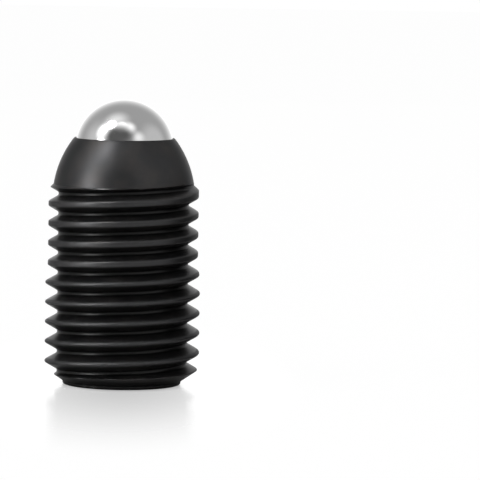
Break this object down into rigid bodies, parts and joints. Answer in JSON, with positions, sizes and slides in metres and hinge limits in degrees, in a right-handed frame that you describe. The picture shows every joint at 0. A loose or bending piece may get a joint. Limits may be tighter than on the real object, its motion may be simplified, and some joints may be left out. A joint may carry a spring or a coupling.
{
  "type": "spring plunger",
  "caption": "Threaded spring plunger with a sprung steel ball held in a rolled nose and a hexagon socket in its other end.",
  "frame": {"origin": "middle of the socket end face, on which the plunger stands", "axes": "+Z along the axis, out of the nose towards the ball; +X through a corner of the hexagon socket"},
  "size_m": [0.0156, 0.0156, 0.0289],
  "materials": {
    "black_oxide_steel": "satin",
    "spring_steel": "satin",
    "polished_steel": "polished"
  },
  "bodies": {
    "housing": {"housing": "black_oxide_steel"},
    "spring": {"spring": "spring_steel"},
    "ball": {"ball": "polished_steel"}
  },
  "joints": [
    {"name": "ball_slide", "type": "slide", "parent": "housing", "child": "spring", "axis": [0, 0, -1], "range_m": [0, 0.0035], "stiffness_N_per_m": 9900, "springref_m": -0.0045, "deforming": ["spring"]},
    {"name": "ball_roll", "type": "hinge", "parent": "spring", "child": "ball", "pos_m": [0, 0, 0.02388], "axis": [0, 1, 0], "continuous": true}
  ]
}
